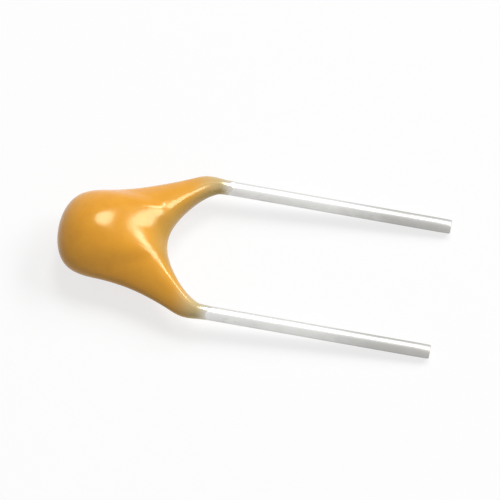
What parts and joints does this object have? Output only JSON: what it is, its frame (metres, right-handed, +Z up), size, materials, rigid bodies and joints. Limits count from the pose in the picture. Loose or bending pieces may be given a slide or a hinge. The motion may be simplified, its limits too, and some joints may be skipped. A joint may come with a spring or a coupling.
{
  "type": "multilayer ceramic capacitor",
  "caption": "Radial ceramic capacitor: a glossy golden-orange dipped body with flared legs running onto straight parallel wires, a layered chip inside.",
  "frame": {"origin": "centre of the footprint of the capacitor as it lies, at floor height", "axes": "+X from the coat out along the wires, +Y across the two wires, +Z up through the thickness of the coat"},
  "size_m": [0.0134, 0.0056, 0.0023],
  "materials": {
    "coat": "gloss",
    "wire": "satin",
    "ceramic": "satin",
    "electrode": "matte",
    "termination": "satin",
    "solder": "satin"
  },
  "bodies": {
    "root": {"epoxy_coat": "coat", "lead_left": "wire", "lead_right": "wire", "ceramic_body": "ceramic", "termination_left": "termination", "termination_right": "termination", "solder_joint_left": "solder", "solder_joint_right": "solder", "electrode_left_1": "electrode", "electrode_left_2": "electrode", "electrode_left_3": "electrode", "electrode_left_4": "electrode", "electrode_left_5": "electrode", "electrode_left_6": "electrode", "electrode_left_7": "electrode", "electrode_right_1": "electrode", "electrode_right_2": "electrode", "electrode_right_3": "electrode", "electrode_right_4": "electrode", "electrode_right_5": "electrode", "electrode_right_6": "electrode", "electrode_right_7": "electrode"}
  },
  "joints": []
}
